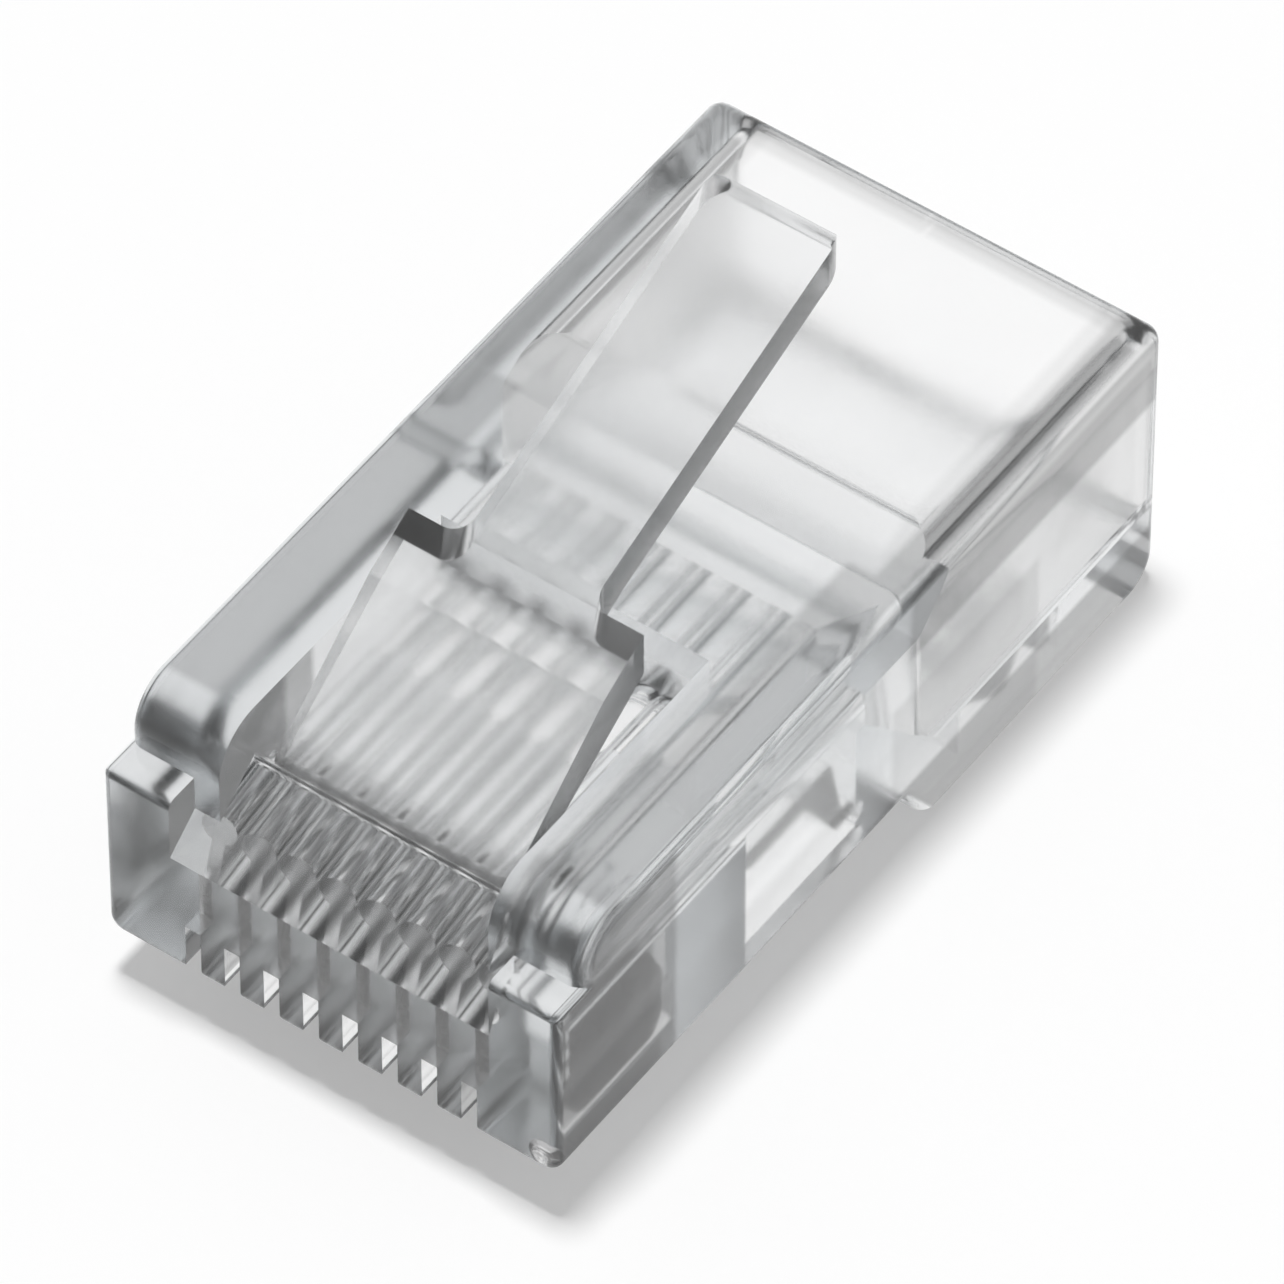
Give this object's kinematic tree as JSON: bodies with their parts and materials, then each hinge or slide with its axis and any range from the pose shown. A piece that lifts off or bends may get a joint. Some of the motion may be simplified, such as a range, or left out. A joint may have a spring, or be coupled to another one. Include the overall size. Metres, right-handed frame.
{
  "type": "modular plug",
  "caption": "Clear plastic modular plug for a round data cable, with a sprung latch lever, blade contacts and two clamp bars, before crimping.",
  "frame": {"origin": "middle of the nose's lower front edge", "axes": "+X across the plug, +Y from the nose to the cable entry, +Z towards the latch side"},
  "size_m": [0.0116, 0.022, 0.0134],
  "materials": {
    "clear_plastic": "clear moulded polycarbonate",
    "contact_metal": "plated bronze strip"
  },
  "bodies": {
    "body": {"housing": "clear_plastic"},
    "latch": {"latch_lever": "clear_plastic"},
    "wire_bar": {"wire_clamp": "clear_plastic"},
    "cable_bar": {"cable_clamp": "clear_plastic"},
    "contact_1": {"contact_1": "contact_metal"},
    "contact_2": {"contact_2": "contact_metal"},
    "contact_3": {"contact_3": "contact_metal"},
    "contact_4": {"contact_4": "contact_metal"},
    "contact_5": {"contact_5": "contact_metal"},
    "contact_6": {"contact_6": "contact_metal"},
    "contact_7": {"contact_7": "contact_metal"},
    "contact_8": {"contact_8": "contact_metal"}
  },
  "joints": [
    {"name": "latch_press", "type": "hinge", "parent": "body", "child": "latch", "pos_m": [0, 0.00252, 0.00499], "axis": [1, 0, 0], "range_deg": [-14, 0], "stiffness_Nm_per_rad": 0.15},
    {"name": "wire_clamp_fold", "type": "hinge", "parent": "body", "child": "wire_bar", "pos_m": [0, 0.0114, 0.0004], "axis": [1, 0, 0], "range_deg": [-16, 0]},
    {"name": "cable_clamp_fold", "type": "hinge", "parent": "body", "child": "cable_bar", "pos_m": [0, 0.019, 0.0004], "axis": [1, 0, 0], "range_deg": [-25, 0]},
    {"name": "contact_1_press", "type": "slide", "parent": "body", "child": "contact_1", "axis": [0, 0, 1], "range_m": [0, 0.0006]},
    {"name": "contact_2_press", "type": "slide", "parent": "body", "child": "contact_2", "axis": [0, 0, 1], "range_m": [0, 0.0006]},
    {"name": "contact_3_press", "type": "slide", "parent": "body", "child": "contact_3", "axis": [0, 0, 1], "range_m": [0, 0.0006]},
    {"name": "contact_4_press", "type": "slide", "parent": "body", "child": "contact_4", "axis": [0, 0, 1], "range_m": [0, 0.0006]},
    {"name": "contact_5_press", "type": "slide", "parent": "body", "child": "contact_5", "axis": [0, 0, 1], "range_m": [0, 0.0006]},
    {"name": "contact_6_press", "type": "slide", "parent": "body", "child": "contact_6", "axis": [0, 0, 1], "range_m": [0, 0.0006]},
    {"name": "contact_7_press", "type": "slide", "parent": "body", "child": "contact_7", "axis": [0, 0, 1], "range_m": [0, 0.0006]},
    {"name": "contact_8_press", "type": "slide", "parent": "body", "child": "contact_8", "axis": [0, 0, 1], "range_m": [0, 0.0006]}
  ]
}
